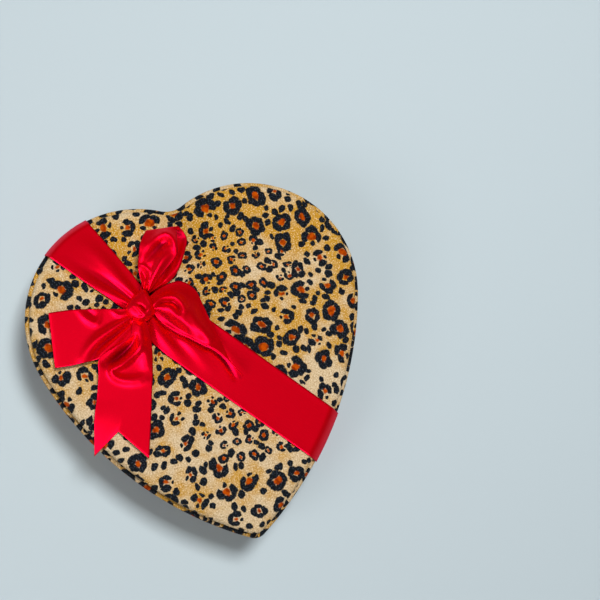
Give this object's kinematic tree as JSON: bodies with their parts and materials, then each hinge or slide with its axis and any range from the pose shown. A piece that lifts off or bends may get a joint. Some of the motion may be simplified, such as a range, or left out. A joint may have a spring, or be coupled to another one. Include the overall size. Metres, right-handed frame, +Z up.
{
  "type": "heart-shaped gift box",
  "caption": "Heart-shaped chocolate box: a padded plush lid with a ribbon bow lifts off a shallow card base that holds sweets in a slotted card partition under a soft pad.",
  "frame": {"origin": "on the table under the middle of the heart's width and length", "axes": "+Z up through the lid, +Y from the tip towards the cleft, +X across the heart"},
  "size_m": [0.16, 0.1664, 0.0551],
  "materials": {
    "plush": "leopard-print short-pile plush",
    "satin": "red satin ribbon",
    "chipboard": "grey chipboard",
    "red_paper": "smooth red covering paper",
    "foam": "soft white wadding",
    "gold_card": "gold-faced card",
    "cup_paper": "brown pleated paper",
    "chocolate": "milk chocolate",
    "pad_paper": "embossed cream paper"
  },
  "bodies": {
    "base": {"base_bottom_paper": "red_paper", "base_bottom_board": "chipboard", "base_wall_band": "chipboard", "base_wrap": "red_paper"},
    "chocolates": {"paper_cups": "cup_paper", "striped_bonbons": "chocolate", "truffles": "chocolate"},
    "partition": {"partition_cross_strips": "gold_card", "partition_long_strips": "gold_card"},
    "cushion": {"cushion_pad": "pad_paper"},
    "lid": {"lid_rim_band": "chipboard", "lid_top_board": "chipboard", "lid_rim_fabric": "plush", "lid_panel_card": "chipboard", "lid_panel_pad": "foam", "lid_panel_fabric": "plush", "ribbon_band": "satin", "bow_knot": "satin", "bow_upper_loop": "satin", "bow_left_loop": "satin", "bow_bottom_tail": "satin", "bow_right_tail": "satin"}
  },
  "joints": [
    {"name": "chocolates_lift", "type": "slide", "parent": "base", "child": "chocolates", "axis": [0, 0, 1], "range_m": [0, 0.045]},
    {"name": "partition_lift", "type": "slide", "parent": "chocolates", "child": "partition", "axis": [0, 0, 1], "range_m": [0, 0.03]},
    {"name": "cushion_lift", "type": "slide", "parent": "partition", "child": "cushion", "axis": [0, 0, 1], "range_m": [0, 0.03]},
    {"name": "lid_lift", "type": "slide", "parent": "cushion", "child": "lid", "axis": [0, 0, 1], "range_m": [0, 0.06]}
  ]
}
